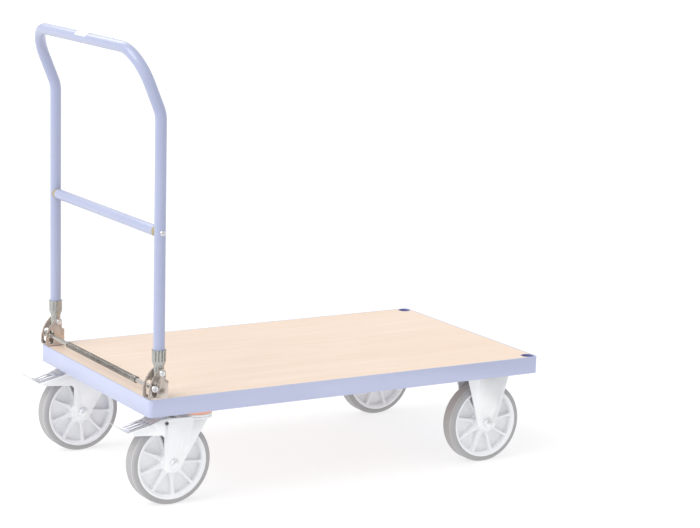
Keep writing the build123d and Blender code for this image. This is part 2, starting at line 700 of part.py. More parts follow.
BRACKET_OUT = BRACKET_GAP / 2 + BRACKET_SHEET
with BuildPart() as hinge_bolts:
    for side in SIDES.values():
        outboard = Plane(
            (HINGE_X, side * (POST_Y + BRACKET_OUT), HINGE_Z),
            x_dir=(1, 0, 0),
            z_dir=(0, side, 0),
        )
        with BuildSketch(outboard):
            Circle(HINGE_BOLT_RADIUS)
        extrude(amount=-(2 * BRACKET_OUT + SMALL_NUT + 1))
        dome_head(outboard, 6, 3.2)
        hexagon_prism(outboard.offset(-2 * BRACKET_OUT - SMALL_NUT), SMALL_NUT_FLATS, SMALL_NUT)
save(hinge_bolts, "hinge_bolts")

for side_name, side in SIDES.items():
    fold_bracket(f"fold_bracket_{side_name}", side * POST_Y)

LOCK_SPAN = POST_Y + BRACKET_OUT + 1.0
LOCK_PLANE = Plane((HINGE_X + LOCK_X, 0, LOCK_Z), x_dir=(1, 0, 0), z_dir=(0, 1, 0))
with BuildPart() as lock_bar:
    with BuildSketch(LOCK_PLANE):
        Circle(LOCK_RADIUS)
    extrude(amount=LOCK_SPAN, both=True)
save(lock_bar, "lock_bar")

with BuildPart() as lock_bar_screws:
    for side in SIDES.values():
        end_plane = Plane(
            (HINGE_X + LOCK_X, side * LOCK_SPAN, LOCK_Z), x_dir=(1, 0, 0), z_dir=(0, side, 0)
        )
        dome_head(end_plane, 6.4, 3.4)
save(lock_bar_screws, "lock_bar_screws")

SPRING_FROM, SPRING_TO, SPRING_RADIUS = -160.0, 141.0, 6.0
SPRING_COLLAR, SPRING_COLLAR_RADIUS = 14.0, 6.5
with BuildPart() as lock_spring:
    with BuildSketch(LOCK_PLANE.offset(SPRING_FROM)):
        Circle(SPRING_RADIUS)
        Circle(LOCK_RADIUS + 0.1, mode=Mode.SUBTRACT)
    extrude(amount=SPRING_TO - SPRING_FROM)
save(lock_spring, "lock_spring")

with BuildPart() as spring_collar:
    with BuildSketch(LOCK_PLANE.offset(SPRING_FROM - SPRING_COLLAR)):
        Circle(SPRING_COLLAR_RADIUS)
        Circle(LOCK_RADIUS, mode=Mode.SUBTRACT)
    extrude(amount=SPRING_COLLAR)
    chamfer(spring_collar.edges().filter_by(GeomType.CIRCLE).sort_by(Axis.Y)[0], 0.8)
save(spring_collar, "spring_collar")


# ---- folding handle ---------------------------------------------------------
TUBE_END = HINGE_Z + 24
GRIP_X = HINGE_X - (GRIP_HEIGHT - CRANK_HEIGHT) * tan(radians(CRANK_ANGLE))
with BuildPart() as handle_tube:
    with BuildLine() as route:
        FilletPolyline(
            (HINGE_X, -POST_Y, TUBE_END),
            (HINGE_X, -POST_Y, CRANK_HEIGHT),
            (GRIP_X, -POST_Y, GRIP_HEIGHT),
            (GRIP_X, POST_Y, GRIP_HEIGHT),
            (HINGE_X, POST_Y, CRANK_HEIGHT),
            (HINGE_X, POST_Y, TUBE_END),
            radius=(CRANK_BEND, GRIP_BEND, GRIP_BEND, CRANK_BEND),
        )
    with BuildSketch(Plane((HINGE_X, -POST_Y, TUBE_END))):
        Circle(TUBE_RADIUS)
        Circle(TUBE_RADIUS - TUBE_WALL, mode=Mode.SUBTRACT)
    sweep(path=route.wire())
    with BuildSketch(Plane((HINGE_X, 0, CROSSBAR_HEIGHT), x_dir=(1, 0, 0), z_dir=(0, 1, 0))):
        Circle(2.6)
    extrude(amount=WIDTH, both=True, mode=Mode.SUBTRACT)
save(handle_tube, "handle_tube")

SADDLE = 5.0
CROSSBAR_END = POST_Y - TUBE_RADIUS - SADDLE
with BuildPart() as crossbar:
    with BuildSketch(Plane((HINGE_X, 0, CROSSBAR_HEIGHT), x_dir=(1, 0, 0), z_dir=(0, 1, 0))):
        Circle(CROSSBAR_RADIUS)
        Circle(CROSSBAR_RADIUS - TUBE_WALL, mode=Mode.SUBTRACT)
    extrude(amount=CROSSBAR_END, both=True)
save(crossbar, "crossbar")

for side_name, side in SIDES.items():
    with BuildPart() as saddle:
        base = Plane(
            (HINGE_X, side * CROSSBAR_END, CROSSBAR_HEIGHT), x_dir=(1, 0, 0), z_dir=(0, side, 0)
        )
        with BuildSketch(base):
            Circle(CROSSBAR_RADIUS)
        extrude(amount=2 * SADDLE)
        with BuildSketch(base):
            Circle(CROSSBAR_RADIUS - TUBE_WALL)
        extrude(amount=-14)
        with BuildSketch(base):
            Circle(2.5)
        extrude(amount=30, both=True, mode=Mode.SUBTRACT)
        with Locations((HINGE_X, side * POST_Y, CROSSBAR_HEIGHT)):
            Cylinder(TUBE_RADIUS, 60, mode=Mode.SUBTRACT)
    save(saddle, f"crossbar_saddle_{side_name}")

with BuildPart() as crossbar_screws:
    for side in SIDES.values():
        outside = Plane(
            (HINGE_X, side * (POST_Y + TUBE_RADIUS), CROSSBAR_HEIGHT),
            x_dir=(1, 0, 0),
            z_dir=(0, side, 0),
        )
        with BuildSketch(outside):
            Circle(2.4)
        extrude(amount=-32)
        dome_head(outside, 5, 2.6)
save(crossbar_screws, "crossbar_screws")

STUB_RADIUS, STUB_WALL, STUB_REACH = 9.5, 2.25, 24.0
COLLAR_RADIUS = 13.0
for side_name, side in SIDES.items():
    with BuildPart() as foot_socket:
        with BuildSketch(Plane((HINGE_X, side * POST_Y, 0), x_dir=(1, 0, 0), z_dir=(0, -1, 0))):
            Polygon(
                (STUB_RADIUS, HINGE_Z - STUB_REACH),
                (STUB_RADIUS, HINGE_Z + 12),
                (COLLAR_RADIUS, HINGE_Z + 21),
                (COLLAR_RADIUS, HINGE_Z + 39),
                (COLLAR_RADIUS + 0.5, HINGE_Z + 39.5),
                (COLLAR_RADIUS + 0.5, HINGE_Z + 41.5),
                (TUBE_RADIUS + 0.05, HINGE_Z + 41.5),
                (TUBE_RADIUS + 0.05, TUBE_END),
                (STUB_RADIUS - STUB_WALL, HINGE_Z + 14),
                (STUB_RADIUS - STUB_WALL, HINGE_Z - STUB_REACH),
                align=None,
            )
        revolve(axis=Axis((HINGE_X, side * POST_Y, 0), (0, 0, 1)))
        with BuildSketch(Plane((HINGE_X, 0, HINGE_Z), x_dir=(1, 0, 0), z_dir=(0, 1, 0))):
            Circle(HINGE_BOLT_RADIUS + RUNNING)
        extrude(amount=WIDTH, both=True, mode=Mode.SUBTRACT)
    save(foot_socket, f"foot_socket_{side_name}")

LABEL_Y, LABEL_LENGTH, LABEL_WRAP, LABEL_THICKNESS = -10.0, 48.0, 134.0, 0.5
LABEL_PLANE = Plane((GRIP_X, LABEL_Y, GRIP_HEIGHT), x_dir=(1, 0, 0), z_dir=(0, -1, 0))
with BuildPart() as grip_label:
    with BuildSketch(LABEL_PLANE):
        Circle(TUBE_RADIUS + LABEL_THICKNESS)
        Circle(TUBE_RADIUS, mode=Mode.SUBTRACT)
        edge_x = 2 * TUBE_RADIUS * sin(radians(LABEL_WRAP / 2))
        edge_y = 2 * TUBE_RADIUS * cos(radians(LABEL_WRAP / 2))
        Polygon(
            (0, 0),
            (edge_x, edge_y),
            (edge_x, 2 * TUBE_RADIUS),
            (-edge_x, 2 * TUBE_RADIUS),
            (-edge_x, edge_y),
            align=None,
            mode=Mode.INTERSECT,
        )
    extrude(amount=LABEL_LENGTH / 2, both=True)
save(grip_label, "grip_label")
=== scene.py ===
"""Looks for the folding platform cart: finishes for every steel, timber, rubber and plastic
piece, softened edges on the sheet-metal work, turned tyres with a moulded shoulder line that
is also painted paler as a highlight, and a wound spring on the lock bar. All lengths are in metres."""

import json
from math import cos, radians, sin

import bmesh
import bpy
from mathutils import Matrix, Vector


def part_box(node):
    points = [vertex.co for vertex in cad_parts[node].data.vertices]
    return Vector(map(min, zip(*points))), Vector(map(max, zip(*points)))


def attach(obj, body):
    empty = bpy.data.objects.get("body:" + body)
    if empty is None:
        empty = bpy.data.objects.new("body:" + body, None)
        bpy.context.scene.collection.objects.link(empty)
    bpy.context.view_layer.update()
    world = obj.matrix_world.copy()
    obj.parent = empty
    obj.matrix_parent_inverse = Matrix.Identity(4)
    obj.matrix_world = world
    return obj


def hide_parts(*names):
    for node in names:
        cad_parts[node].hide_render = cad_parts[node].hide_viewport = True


MM = 0.001
FLOOR_HEIGHT = -210 * MM            # floor under the wheels, from the deck's top face

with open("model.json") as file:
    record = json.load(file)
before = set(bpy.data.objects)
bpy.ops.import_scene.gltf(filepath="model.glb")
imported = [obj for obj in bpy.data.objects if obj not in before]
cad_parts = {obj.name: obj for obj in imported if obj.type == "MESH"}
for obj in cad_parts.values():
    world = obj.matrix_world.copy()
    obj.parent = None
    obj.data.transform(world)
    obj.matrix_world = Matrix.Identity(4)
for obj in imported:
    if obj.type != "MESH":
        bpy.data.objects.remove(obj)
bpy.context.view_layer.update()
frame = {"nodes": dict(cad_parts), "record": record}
nodes = frame["nodes"]
SIDES = ("near", "far")

SPRING_WIRE = 1.0 * MM              # radius of the lock spring's wire
SPRING_PITCH = 4.0 * MM
TYRE_SEAT = 69.5 * MM               # radius where the tyre sits on the rim
TYRE_SHOULDER = 7 * MM
FRAME_EDGE = 1.2 * MM               # how far each kind of part's edges are rounded over
FORK_EDGE = 0.8 * MM
RIM_EDGE = 0.7 * MM
SHEET_EDGE = 0.5 * MM
SCREW_EDGE = 0.35 * MM
MERGE_DISTANCE = 0.002 * MM
FLAT_ANGLE = radians(0.6)           # faces that differ less than this are rejoined
BEVEL_ANGLE = radians(32)
SHARP_ANGLE = radians(38)
TYRE_SHARP_ANGLE = radians(35)


# ---- shader building blocks -------------------------------------------------
def srgb(red, green, blue):
    """Linear colour, with alpha, from a paint chip's 0-255 values."""

    def linear(value):
        value /= 255
        return value / 12.92 if value <= 0.04045 else ((value + 0.055) / 1.055) ** 2.4

    return (linear(red), linear(green), linear(blue), 1.0)


def add_node(tree, kind, inputs=None, **settings):
    """New shader node; inputs maps a socket name or number to a value or another socket."""
    made = tree.nodes.new(kind)
    for key, value in settings.items():
        setattr(made, key, value)
    for key, value in (inputs or {}).items():
        if isinstance(value, bpy.types.NodeSocket):
            tree.links.new(value, made.inputs[key])
        else:
            made.inputs[key].default_value = value
    return made


def add_math(tree, operation, first, second=0.0, clamp=False):
    """Maths node; second is ignored by operations on one number."""
    made = add_node(tree, "ShaderNodeMath", {0: first, 1: second}, operation=operation)
    made.use_clamp = clamp
    return made.outputs[0]


def add_mix(tree, factor, first, second):
    """Colour mix: first where factor is 0, second where it is 1."""
    made = tree.nodes.new("ShaderNodeMix")
    made.data_type = "RGBA"
    for name, value in (("Factor_Float", factor), ("A_Color", first), ("B_Color", second)):
        socket = next(s for s in made.inputs if s.identifier == name)
        if isinstance(value, bpy.types.NodeSocket):
            tree.links.new(value, socket)
        else:
            socket.default_value = value
    return next(s for s in made.outputs if s.identifier == "Result_Color")


def add_range(tree, value, from_low, from_high, to_low, to_high):
    """Value moved from one range to another and held inside it."""
    made = add_node(
        tree,
        "ShaderNodeMapRange",
        {
            "Value": value,
            "From Min": from_low,
            "From Max": from_high,
            "To Min": to_low,
            "To Max": to_high,
        },
    )
    return made.outputs["Result"]


def new_group(name, inputs, outputs):
    """Empty node group with named float, vector or colour sockets."""
    group = bpy.data.node_groups.new(name, "ShaderNodeTree")
    for socket_name, kind, value in inputs:
        socket = group.interface.new_socket(socket_name, in_out="INPUT", socket_type=kind)
        socket.default_value = value
    for socket_name, kind in outputs:
        group.interface.new_socket(socket_name, in_out="OUTPUT", socket_type=kind)
    entry = group.nodes.new("NodeGroupInput")
    leave = group.nodes.new("NodeGroupOutput")
    return group, entry.outputs, leave.inputs


FLOAT, VECTOR = "NodeSocketFloat", "NodeSocketVector"


def make_mottle_group():
    """Slow drift and fine grain of a finish, each from 0 to 1."""
    group, given, result = new_group(
        "finish_mottle",
        [("Broad Scale", FLOAT, 6.0), ("Fine Scale", FLOAT, 400.0)],
        [("Broad", FLOAT), ("Fine", FLOAT)],
    )
    place = add_node(group, "ShaderNodeTexCoord").outputs["Object"]
    for scale, detail, name in (("Broad Scale", 3.0, "Broad"), ("Fine Scale", 2.0, "Fine")):
        noise = add_node(
            group, "ShaderNodeTexNoise", {"Vector": place, "Scale": given[scale], "Detail": detail}
        )
        spread = add_range(group, noise.outputs["Fac"], 0.3, 0.7, 0.0, 1.0)
        group.links.new(spread, result[name])
    return group


def make_edge_wear_and_shade_group():
    """Mask that is high on sharp edges and broken up by noise: it carries rubbed wear, and painted
    shade where a finish gives it a dark edge colour.
    """
    group, given, result = new_group(
        "edge_wear_and_shade",
        [("Radius", FLOAT, 0.0012), ("Amount", FLOAT, 1.0), ("Break Up", FLOAT, 90.0)],
        [("Wear And Shade", FLOAT)],
    )
    rounded = add_node(group, "ShaderNodeBevel", {"Radius": given["Radius"]}, samples=4)
    flat = add_node(group, "ShaderNodeNewGeometry")
    dot = add_node(
        group,
        "ShaderNodeVectorMath",
        {0: rounded.outputs["Normal"], 1: flat.outputs["Normal"]},
        operation="DOT_PRODUCT",
    )
    edge = add_range(group, dot.outputs["Value"], 0.999, 0.9, 0.0, 1.0)
    place = add_node(group, "ShaderNodeTexCoord").outputs["Object"]
    noise = add_node(
        group, "ShaderNodeTexNoise", {"Vector": place, "Scale": given["Break Up"], "Detail": 4.0}
    )
    broken = add_range(group, noise.outputs["Fac"], 0.42, 0.62, 0.0, 1.0)
    worn = add_math(group, "MULTIPLY", edge, broken)
    group.links.new(add_math(group, "MULTIPLY", worn, given["Amount"], clamp=True), result["Wear And Shade"])
    return group


def make_brush_group():
    """Fine drawn lines along one axis of a metal piece."""
    group, given, result = new_group(
        "drawn_lines", [("Stretch", VECTOR, (1.0, 1.0, 1.0))], [("Lines", FLOAT)]
    )
    place = add_node(group, "ShaderNodeTexCoord").outputs["Object"]
    stretched = add_node(
        group,
        "ShaderNodeVectorMath",
        {0: place, 1: given["Stretch"]},
        operation="MULTIPLY",
    )
    noise = add_node(
        group,
        "ShaderNodeTexNoise",
        {"Vector": stretched.outputs["Vector"], "Scale": 1.0, "Detail": 3.0},
    )
    group.links.new(add_range(group, noise.outputs["Fac"], 0.3, 0.7, 0.0, 1.0), result["Lines"])
    return group


def make_low_shade_group():
    """Painted shade that darkens a piece low down, towards the floor, broken up by noise."""
    group, given, result = new_group(
        "painted_low_shade",
        [("Low", FLOAT, -0.21), ("High", FLOAT, -0.1), ("Amount", FLOAT, 0.4)],
        [("Low Shade", FLOAT)],
    )
    place = add_node(group, "ShaderNodeTexCoord").outputs["Object"]
    height = add_node(group, "ShaderNodeSeparateXYZ", {"Vector": place}).outputs["Z"]
    fall = add_range(group, height, given["Low"], given["High"], 1.0, 0.0)
    noise = add_node(
        group, "ShaderNodeTexNoise", {"Vector": place, "Scale": 38.0, "Detail": 6.0}
    )
    patchy = add_range(group, noise.outputs["Fac"], 0.35, 0.65, 0.0, 1.0)
    both = add_math(group, "MULTIPLY", fall, patchy)
    group.links.new(add_math(group, "MULTIPLY", both, given["Amount"], clamp=True), result["Low Shade"])
    return group


MOTTLE = make_mottle_group()
WEAR_AND_EDGE_SHADE = make_edge_wear_and_shade_group()
BRUSH = make_brush_group()
LOW_SHADE = make_low_shade_group()


def use_group(tree, group, **inputs):
    """Outputs of a node group set down in a material."""
    made = tree.nodes.new("ShaderNodeGroup")
    made.node_tree = group
    for name, value in inputs.items():
        made.inputs[name.replace("_", " ")].default_value = value
    return made.outputs


def new_finish(name, roughness, metallic=0.0, **sockets):
    """Material with one Principled shader and its constant sockets set."""
    material = bpy.data.materials.new(name)
    material.use_nodes = True
    tree = material.node_tree
    shader = tree.nodes["Principled BSDF"]
    shader.inputs["Roughness"].default_value = roughness
    shader.inputs["Metallic"].default_value = metallic
    for key, value in sockets.items():
        shader.inputs[key.replace("_", " ")].default_value = value
    return material, tree, shader


def add_relief(tree, shader, height, depth, strength):
    """Bump on a finish, too shallow to model."""
    bump = add_node(
        tree, "ShaderNodeBump", {"Height": height, "Distance": depth, "Strength": strength}
    )
    tree.links.new(bump.outputs["Normal"], shader.inputs["Normal"])


# ---- finishes ---------------------------------------------------------------
def powder_coat(name, colour, shade, worn, coat=0.25, coat_roughness=0.2):
    """Stoved powder coat: orange-peel skin, slight drift in colour, rubbed edges."""
    material, tree, shader = new_finish(
        name, 0.34, Coat_Weight=coat, Coat_Roughness=coat_roughness
    )
    mottle = use_group(tree, MOTTLE, Broad_Scale=5.0, Fine_Scale=650.0)
    wear_and_shade = use_group(tree, WEAR_AND_EDGE_SHADE, Radius=1.1 * MM, Amount=0.55, Break_Up=70.0)
    drift = add_mix(tree, mottle["Broad"], colour, shade)
    rubbed = add_mix(tree, wear_and_shade["Wear And Shade"], drift, worn)
    tree.links.new(rubbed, shader.inputs["Base Color"])
    tree.links.new(
        add_range(tree, mottle["Fine"], 0.0, 1.0, 0.3, 0.4), shader.inputs["Roughness"]
    )
    add_relief(tree, shader, mottle["Fine"], 0.05 * MM, 0.35)
    return material


RUBBED_BRIGHT = (0.95, 0.95, 0.95, 1.0)
DRAWN_LINES = (40.0, 40.0, 40.0)    # lines a metre


def zinc(name, colour, shade, roughness, metallic=0.9, edge=RUBBED_BRIGHT):
    """Plated steel: faint drawn lines, cloudy patches and rubbed bright edges; where a dark edge
    colour is given, the edges carry painted shade instead.
    """
    material, tree, shader = new_finish(name, roughness, metallic)
    mottle = use_group(tree, MOTTLE, Broad_Scale=28.0, Fine_Scale=900.0)
    wear_and_shade = use_group(tree, WEAR_AND_EDGE_SHADE, Radius=0.8 * MM, Amount=0.8, Break_Up=120.0)
    lines = use_group(tree, BRUSH, Stretch=DRAWN_LINES)
    cloudy = add_mix(tree, add_math(tree, "MULTIPLY", mottle["Broad"], 0.7), colour, shade)
    # Edge colour laid on the edge mask: a bright one is rubbed wear, a dark one is painted shade.
    edged = add_mix(tree, wear_and_shade["Wear And Shade"], cloudy, edge)
    tree.links.new(edged, shader.inputs["Base Color"])
    rough = add_range(tree, lines["Lines"], 0.0, 1.0, roughness * 0.8, roughness * 1.25)
    tree.links.new(rough, shader.inputs["Roughness"])
    add_relief(tree, shader, lines["Lines"], 0.02 * MM, 0.3)
    return material


def varnished_board():
    """Pale veneered board, grain along the deck under a satin varnish."""
    material, tree, shader = new_finish(
        "varnished_board", 0.4, Coat_Weight=0.12, Coat_Roughness=0.3
    )
    place = add_node(tree, "ShaderNodeTexCoord").outputs["Object"]

    def stretched(scale, detail, distortion=0.0):
        mapped = add_node(tree, "ShaderNodeMapping", {"Vector": place, "Scale": scale})
        noise = add_node(
            tree,
            "ShaderNodeTexNoise",
            {
                "Vector": mapped.outputs["Vector"],
                "Scale": 1.0,
                "Detail": detail,
                "Distortion": distortion,
            },
        )
        return noise.outputs["Fac"]

    figure = add_range(tree, stretched((1.1, 9.0, 9.0), 4.0, 1.6), 0.3, 0.7, 0.0, 1.0)
    rings = add_math(tree, "FRACT", add_math(tree, "MULTIPLY", figure, 7.0))
    rings = add_math(tree, "PINGPONG", rings, 0.5)
    streaks = add_range(tree, stretched((5.0, 240.0, 240.0), 5.0), 0.35, 0.65, 0.0, 1.0)
    pores = add_range(tree, stretched((60.0, 1400.0, 1400.0), 2.0), 0.66, 0.74, 0.0, 1.0)
    base = add_mix(tree, figure, srgb(241, 221, 204), srgb(236, 212, 191))
    ringed = add_mix(tree, add_math(tree, "MULTIPLY", rings, 0.5), base, srgb(230, 203, 180))
    grained = add_mix(tree, add_math(tree, "MULTIPLY", streaks, 0.3), ringed, srgb(228, 200, 176))
    dotted = add_mix(tree, add_math(tree, "MULTIPLY", pores, 0.35), grained, srgb(206, 168, 138))
    tree.links.new(dotted, shader.inputs["Base Color"])
    tree.links.new(add_range(tree, streaks, 0.0, 1.0, 0.36, 0.46), shader.inputs["Roughness"])
    add_relief(tree, shader, streaks, 0.03 * MM, 0.25)
    return material


def tyre_rubber():
    """Non-marking grey rubber: dry skin, the tread painted darker as shade, a paler line at each
    shoulder painted as a highlight, and painted shade low towards the floor.
    """
    material, tree, shader = new_finish("grey_tyre_rubber", 0.62, Sheen_Weight=0.1)
    mottle = use_group(tree, MOTTLE, Broad_Scale=22.0, Fine_Scale=520.0)
    low_shade = use_group(tree, LOW_SHADE, Low=FLOOR_HEIGHT, High=FLOOR_HEIGHT + 60 * MM, Amount=0.35)
    low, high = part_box("fixed_tyre_far")
    place = add_node(tree, "ShaderNodeTexCoord").outputs["Object"]
    across = add_node(tree, "ShaderNodeSeparateXYZ", {"Vector": place}).outputs["Y"]
    across = add_math(tree, "ABSOLUTE", across)
    across = add_math(tree, "ABSOLUTE", add_math(tree, "SUBTRACT", across, (low.y + high.y) / 2))
    tread = add_range(tree, across, 9.5 * MM, 11 * MM, 1.0, 0.0)
    shoulder = add_math(tree, "SUBTRACT", across, 11.6 * MM)
    shoulder = add_range(tree, add_math(tree, "ABSOLUTE", shoulder), 0.5 * MM, 1.3 * MM, 1.0, 0.0)
    body = add_mix(tree, mottle["Broad"], srgb(174, 173, 175), srgb(167, 166, 168))
    # The tread is painted darker as shade.
    tread_shaded = add_mix(tree, tread, body, srgb(169, 167, 168))
    # A thin paler line at each shoulder is a painted highlight.
    shoulder_highlighted = add_mix(tree, add_math(tree, "MULTIPLY", shoulder, 0.7), tread_shaded, srgb(205, 204, 205))
    # Painted shade low on the tyre, towards the floor.
    shaded_low = add_mix(tree, low_shade["Low Shade"], shoulder_highlighted, srgb(168, 165, 162))
    tree.links.new(shaded_low, shader.inputs["Base Color"])
    tree.links.new(
        add_range(tree, mottle["Fine"], 0.0, 1.0, 0.55, 0.7), shader.inputs["Roughness"]
    )
    add_relief(tree, shader, mottle["Fine"], 0.08 * MM, 0.5)
    return material


def moulded_plastic(name, colour, shade, roughness):
    """Injection-moulded plastic with a fine spark texture."""
    material, tree, shader = new_finish(name, roughness)
    mottle = use_group(tree, MOTTLE, Broad_Scale=14.0, Fine_Scale=1100.0)
    tree.links.new(add_mix(tree, mottle["Broad"], colour, shade), shader.inputs["Base Color"])
    rough = add_range(tree, mottle["Fine"], 0.0, 1.0, roughness * 0.85, roughness * 1.15)
    tree.links.new(rough, shader.inputs["Roughness"])
    add_relief(tree, shader, mottle["Fine"], 0.03 * MM, 0.4)
    return material


FRAME_PAINT = powder_coat(
    "frame_paint", srgb(189, 195, 222), srgb(184, 190, 219), srgb(214, 218, 236)
)
TUBE_PAINT = powder_coat(
    "tube_paint", srgb(171, 178, 206), srgb(165, 172, 202), srgb(206, 210, 232), 0.5, 0.08
)
FINISHES = {
    "deck_wood": varnished_board(),
    "frame_paint": FRAME_PAINT,
    "handle_tube": TUBE_PAINT,
    "zinc_plate": zinc("bright_zinc", srgb(247, 248, 249), srgb(236, 238, 241), 0.4, metallic=0.3),
    "plated_fasteners": zinc("plated_fasteners", srgb(236, 236, 238), srgb(212, 213, 216), 0.24),
    # The bracket's dark brown edge colour is painted shade along its edges.
    "bracket_steel": zinc(
        "bracket_nickel", srgb(216, 205, 197), srgb(188, 176, 167), 0.27, edge=srgb(104, 92, 84)
    ),
    "socket_steel": zinc("socket_nickel", srgb(188, 188, 184), srgb(158, 158, 154), 0.22),
    "lock_steel": zinc("lock_rod_steel", srgb(200, 196, 191), srgb(174, 170, 166), 0.16),
    "spring_steel": zinc("spring_wire_steel", srgb(158, 153, 148), srgb(122, 117, 112), 0.2),
    "grey_tyre": tyre_rubber(),
    "wheel_nylon": moulded_plastic("wheel_nylon", srgb(243, 244, 246), srgb(238, 239, 242), 0.42),
    "bearing_dark": zinc("bearing_steel", srgb(120, 120, 124), srgb(96, 96, 100), 0.35),
    "seal_orange": moulded_plastic("seal_orange", srgb(255, 192, 166), srgb(250, 182, 154), 0.42),
    "saddle_tan": moulded_plastic("saddle_tan", srgb(172, 160, 118), srgb(160, 148, 106), 0.5),
    "brake_rubber": moulded_plastic("brake_rubber", srgb(58, 58, 60), srgb(48, 48, 50), 0.7),
    "label_white": moulded_plastic("label_film", srgb(248, 248, 247), srgb(243, 243, 243), 0.3),
}
CASTOR_BOLTS = zinc(
    "castor_bolt_zinc", srgb(246, 247, 248), srgb(232, 234, 237), 0.34, metallic=0.45
)
# The pedal's darker grey edge colour is painted shade along the plate edges.
PEDAL_EDGE_SHADE = srgb(150, 150, 154)
PEDAL_ZINC = zinc(
    "pedal_zinc", srgb(230, 231, 234), srgb(206, 208, 213), 0.34, metallic=0.75, edge=PEDAL_EDGE_SHADE
)
# The dark grey on the pedal studs is painted shade, standing in for the shaded bore of each hollow
# rivet.
STUD_PAINTED_SHADE = zinc("stud_painted_shade", srgb(150, 150, 153), srgb(124, 124, 127), 0.4, metallic=0.6)
# The bracket pads and corner sockets are real pieces; their deep blue, darker than the frame, is
# painted shade under the brackets and inside the open sockets.
BLUE_PAINTED_SHADE = powder_coat(
    "blue_painted_shade", srgb(120, 126, 176), srgb(112, 118, 170), srgb(196, 200, 224)
)
NODE_FINISHES = {
    "bracket_pads": BLUE_PAINTED_SHADE,
    "fixed_axles": CASTOR_BOLTS,
    "castor_screws": CASTOR_BOLTS,
    **{f"swivel_axle_{side}": CASTOR_BOLTS for side in SIDES},
    **{f"brake_pedal_{side}": PEDAL_ZINC for side in SIDES},
    **{f"pedal_studs_{side}": STUD_PAINTED_SHADE for side in SIDES},
    **{f"corner_socket_{side}": BLUE_PAINTED_SHADE for side in SIDES},
}
for entry in frame["record"]["subparts"]:
    cad_mesh = nodes[entry["node"]].data
    cad_mesh.materials.clear()
    cad_mesh.materials.append(
        NODE_FINISHES.get(entry["node"]) or FINISHES[entry["material_slot"]]
    )


# ---- pieces made here -------------------------------------------------------
def body_of(node):
    bodies = frame["record"]["behaviour"]["bodies"]
    return next(name for name, held in bodies.items() if node in held)


def slot_of(node):
    subparts = frame["record"]["subparts"]
    return next(part["material_slot"] for part in subparts if part["node"] == node)


def add_piece(name, mesh, body, slot):
    """Show a finished mesh that is already in place, riding on a CAD body."""
    piece = bpy.data.objects.new(name, mesh)
    bpy.context.scene.collection.objects.link(piece)
    if not mesh.materials:
        mesh.materials.append(FINISHES[slot])
    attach(piece, body)
    return piece


def merged_copy(names):
    """One bmesh of the named CAD nodes with their doubled corners merged and flats rejoined."""
    shape = bmesh.new()
    for name in names:
        shape.from_mesh(nodes[name].data)
    bmesh.ops.remove_doubles(shape, verts=shape.verts, dist=MERGE_DISTANCE)
    bmesh.ops.dissolve_limit(
        shape, angle_limit=FLAT_ANGLE, verts=shape.verts, edges=shape.edges
    )
    return shape


def baked_mesh(piece):
    """Plain mesh of an object with its modifiers applied."""
    bpy.context.scene.collection.objects.link(piece)
    evaluated = piece.evaluated_get(bpy.context.evaluated_depsgraph_get())
    mesh = bpy.data.meshes.new_from_object(evaluated)
    bpy.data.objects.remove(piece)
    return mesh


def soften(name, width, names=None, prepare=None):
    """Replace CAD nodes by a copy whose sharp edges are rounded over by width."""
    names = names or [name]
    shape = merged_copy(names)
    if prepare:
        prepare(shape)
    draft = bpy.data.meshes.new(name)
    shape.to_mesh(draft)
    shape.free()
    holder = bpy.data.objects.new(name + "_draft", draft)
    rounding = holder.modifiers.new("rounding", "BEVEL")
    rounding.width = width
    rounding.segments = 2
    rounding.limit_method = "ANGLE"
    rounding.angle_limit = BEVEL_ANGLE
    rounding.harden_normals = True
    mesh = baked_mesh(holder)
    mesh.shade_smooth()
    mesh.set_sharp_from_angle(angle=SHARP_ANGLE)
    mesh.materials.clear()
    mesh.materials.append(nodes[names[0]].data.materials[0])
    piece = add_piece(name + "_finished", mesh, body_of(names[0]), slot_of(names[0]))
    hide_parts(*names)


def open_mitres(shape):
    """Delete the touching faces inside the four mitred corners, so the frame is one ring."""
    level, diagonal, smallest = 0.01, 0.5, 20 * MM * MM

    def is_mitre(face):
        across, along, up = (abs(part) for part in face.normal)
        if up >= level or abs(across - along) >= level:
            return False
        return across > diagonal and face.calc_area() > smallest

    inside = [face for face in shape.faces if is_mitre(face)]
    bmesh.ops.delete(shape, geom=inside, context="FACES")


def new_geometry_tree(name, inputs):
    """Geometry Nodes tree with its geometry sockets and named inputs; inputs maps name to kind."""
    tree = bpy.data.node_groups.new(name, "GeometryNodeTree")
    tree.interface.new_socket("Geometry", in_out="INPUT", socket_type="NodeSocketGeometry")
    for socket_name, kind in inputs.items():
        tree.interface.new_socket(socket_name, in_out="INPUT", socket_type=kind)
    tree.interface.new_socket("Geometry", in_out="OUTPUT", socket_type="NodeSocketGeometry")
    return tree, tree.nodes.new("NodeGroupInput").outputs, tree.nodes.new("NodeGroupOutput").inputs


def finish_tree(tree, geometry, material, result):
    """Close a tree: smooth shading, real geometry and the piece's material."""
    smooth = add_node(tree, "GeometryNodeSetShadeSmooth", {"Geometry": geometry})
    solid = add_node(
        tree, "GeometryNodeRealizeInstances", {"Geometry": smooth.outputs["Geometry"]}
    )
    coloured = add_node(
        tree,
        "GeometryNodeSetMaterial",
        {"Geometry": solid.outputs["Geometry"], "Material": material},
    )
    tree.links.new(coloured.outputs["Geometry"], result["Geometry"])


def run_tree(name, tree, values, draft=None):
    """Plain mesh that a tree makes from a draft mesh and the values of its named inputs."""
    holder = bpy.data.objects.new(name + "_draft", draft or bpy.data.meshes.new(name))
    modifier = holder.modifiers.new(name, "NODES")
    modifier.node_group = tree
    for item in tree.interface.items_tree:
        if item.in_out == "INPUT" and item.name in values:
            modifier[item.identifier] = values[item.name]
    return baked_mesh(holder)


